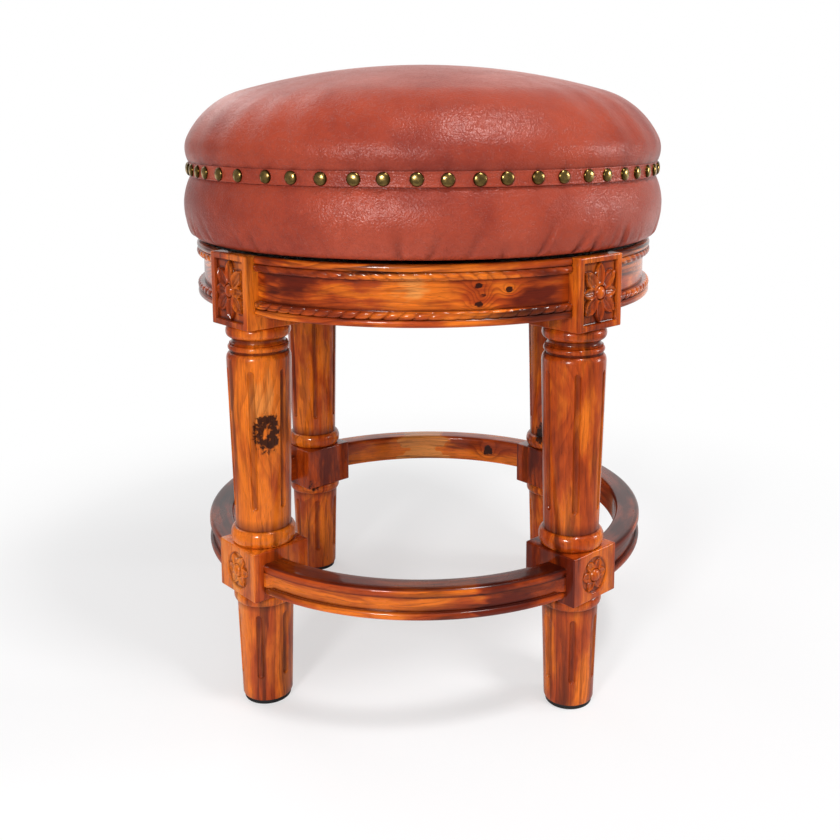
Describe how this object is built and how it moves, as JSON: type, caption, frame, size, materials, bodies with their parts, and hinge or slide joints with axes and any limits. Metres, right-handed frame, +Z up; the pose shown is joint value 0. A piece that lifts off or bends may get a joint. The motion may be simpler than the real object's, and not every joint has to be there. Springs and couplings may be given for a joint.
{
  "type": "swivel stool",
  "caption": "Round swivel stool with turned, fluted wooden legs, carved blocks, a round apron and footrest, and a crowned leather seat trimmed with a band of domed nails",
  "frame": {"origin": "centre of the floor footprint, straight under the seat's axis", "axes": "+Z up, the pictured front towards -Y, the four legs on the diagonals"},
  "size_m": [0.5142, 0.5144, 0.6477],
  "materials": {
    "rosewood_leg": "glossy lacquered rosewood, honey orange to red brown with dark streaks",
    "rosewood_apron": "glossy lacquered rosewood with dark swirling figure",
    "rosewood_rest": "glossy lacquered rosewood with pale sapwood patches and knots",
    "plain_wood": "bare sawn wood and ply, hidden",
    "black_lacquer": "black lacquered ply",
    "pad_black": "black rubber foot pad",
    "plate_steel": "zinc plated flat steel",
    "screw_steel": "zinc plated steel fasteners",
    "glide_plastic": "natural nylon glide ring",
    "wadding": "cotton wadding, hidden",
    "foam": "upholstery foam, hidden",
    "seat_leather": "mottled oxblood leather with a fine pebble grain",
    "band_leather": "folded-edge strip of the same leather",
    "antique_brass": "antiqued domed brass nails"
  },
  "bodies": {
    "frame": {"leg_front_left": "rosewood_leg", "foot_pad_front_left": "pad_black", "corner_block_front_left": "plain_wood", "leg_front_right": "rosewood_leg", "foot_pad_front_right": "pad_black", "corner_block_front_right": "plain_wood", "leg_back_right": "rosewood_leg", "foot_pad_back_right": "pad_black", "corner_block_back_right": "plain_wood", "leg_back_left": "rosewood_leg", "foot_pad_back_left": "pad_black", "corner_block_back_left": "plain_wood", "apron_rail_front": "rosewood_apron", "footrest_front": "rosewood_rest", "apron_rail_right": "rosewood_apron", "footrest_right": "rosewood_rest", "apron_rail_back": "rosewood_apron", "footrest_back": "rosewood_rest", "apron_rail_left": "rosewood_apron", "footrest_left": "rosewood_rest", "top_board": "black_lacquer", "board_screws": "screw_steel", "swivel_base_plate": "plate_steel", "swivel_glide_ring": "glide_plastic", "swivel_pivot": "screw_steel", "base_plate_screws": "screw_steel"},
    "seat": {"swivel_top_plate": "plate_steel", "top_plate_screws": "screw_steel", "seat_base": "plain_wood", "seat_hoop": "plain_wood", "seat_deck": "plain_wood", "side_pad": "wadding", "foam_crown": "foam", "leather_side": "seat_leather", "leather_top": "seat_leather", "leather_band": "band_leather", "nailheads": "antique_brass"}
  },
  "joints": [
    {"name": "seat_swivel", "type": "hinge", "parent": "frame", "child": "seat", "pos_m": [0, 0, 0.469], "axis": [0, 0, 1], "continuous": true}
  ]
}
